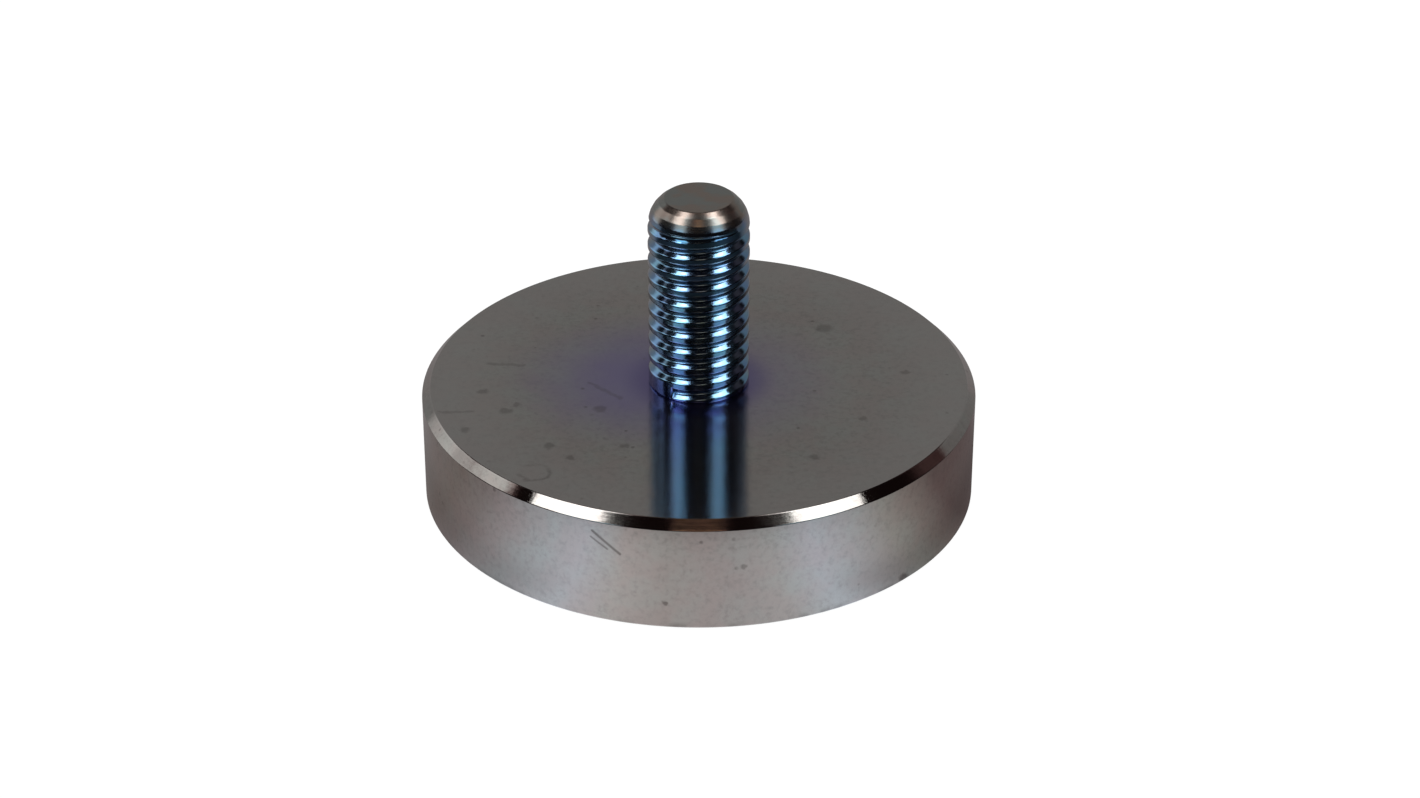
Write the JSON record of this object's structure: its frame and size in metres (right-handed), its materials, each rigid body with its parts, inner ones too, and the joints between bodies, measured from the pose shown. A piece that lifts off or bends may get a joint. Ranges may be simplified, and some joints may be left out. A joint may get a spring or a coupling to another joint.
{
  "type": "pot magnet",
  "caption": "Round flat pot magnet: a plated steel cup with a bevelled back edge, a threaded stud standing on its back, and a magnet potted in its open face.",
  "frame": {"origin": "centre of the magnetic face, on the plane of the pot's rim, where the part stands", "axes": "+Z out of the back along the stud; +X and +Y are free, because the part is turned"},
  "size_m": [0.032, 0.032, 0.0185],
  "materials": {
    "pot_plating": "satin",
    "stud_plating": "gloss",
    "magnet_plating": "gloss",
    "resin": "satin"
  },
  "bodies": {
    "root": {"steel_pot": "pot_plating", "threaded_stud": "stud_plating", "magnet_disc": "magnet_plating", "potting_ring": "resin"}
  },
  "joints": []
}
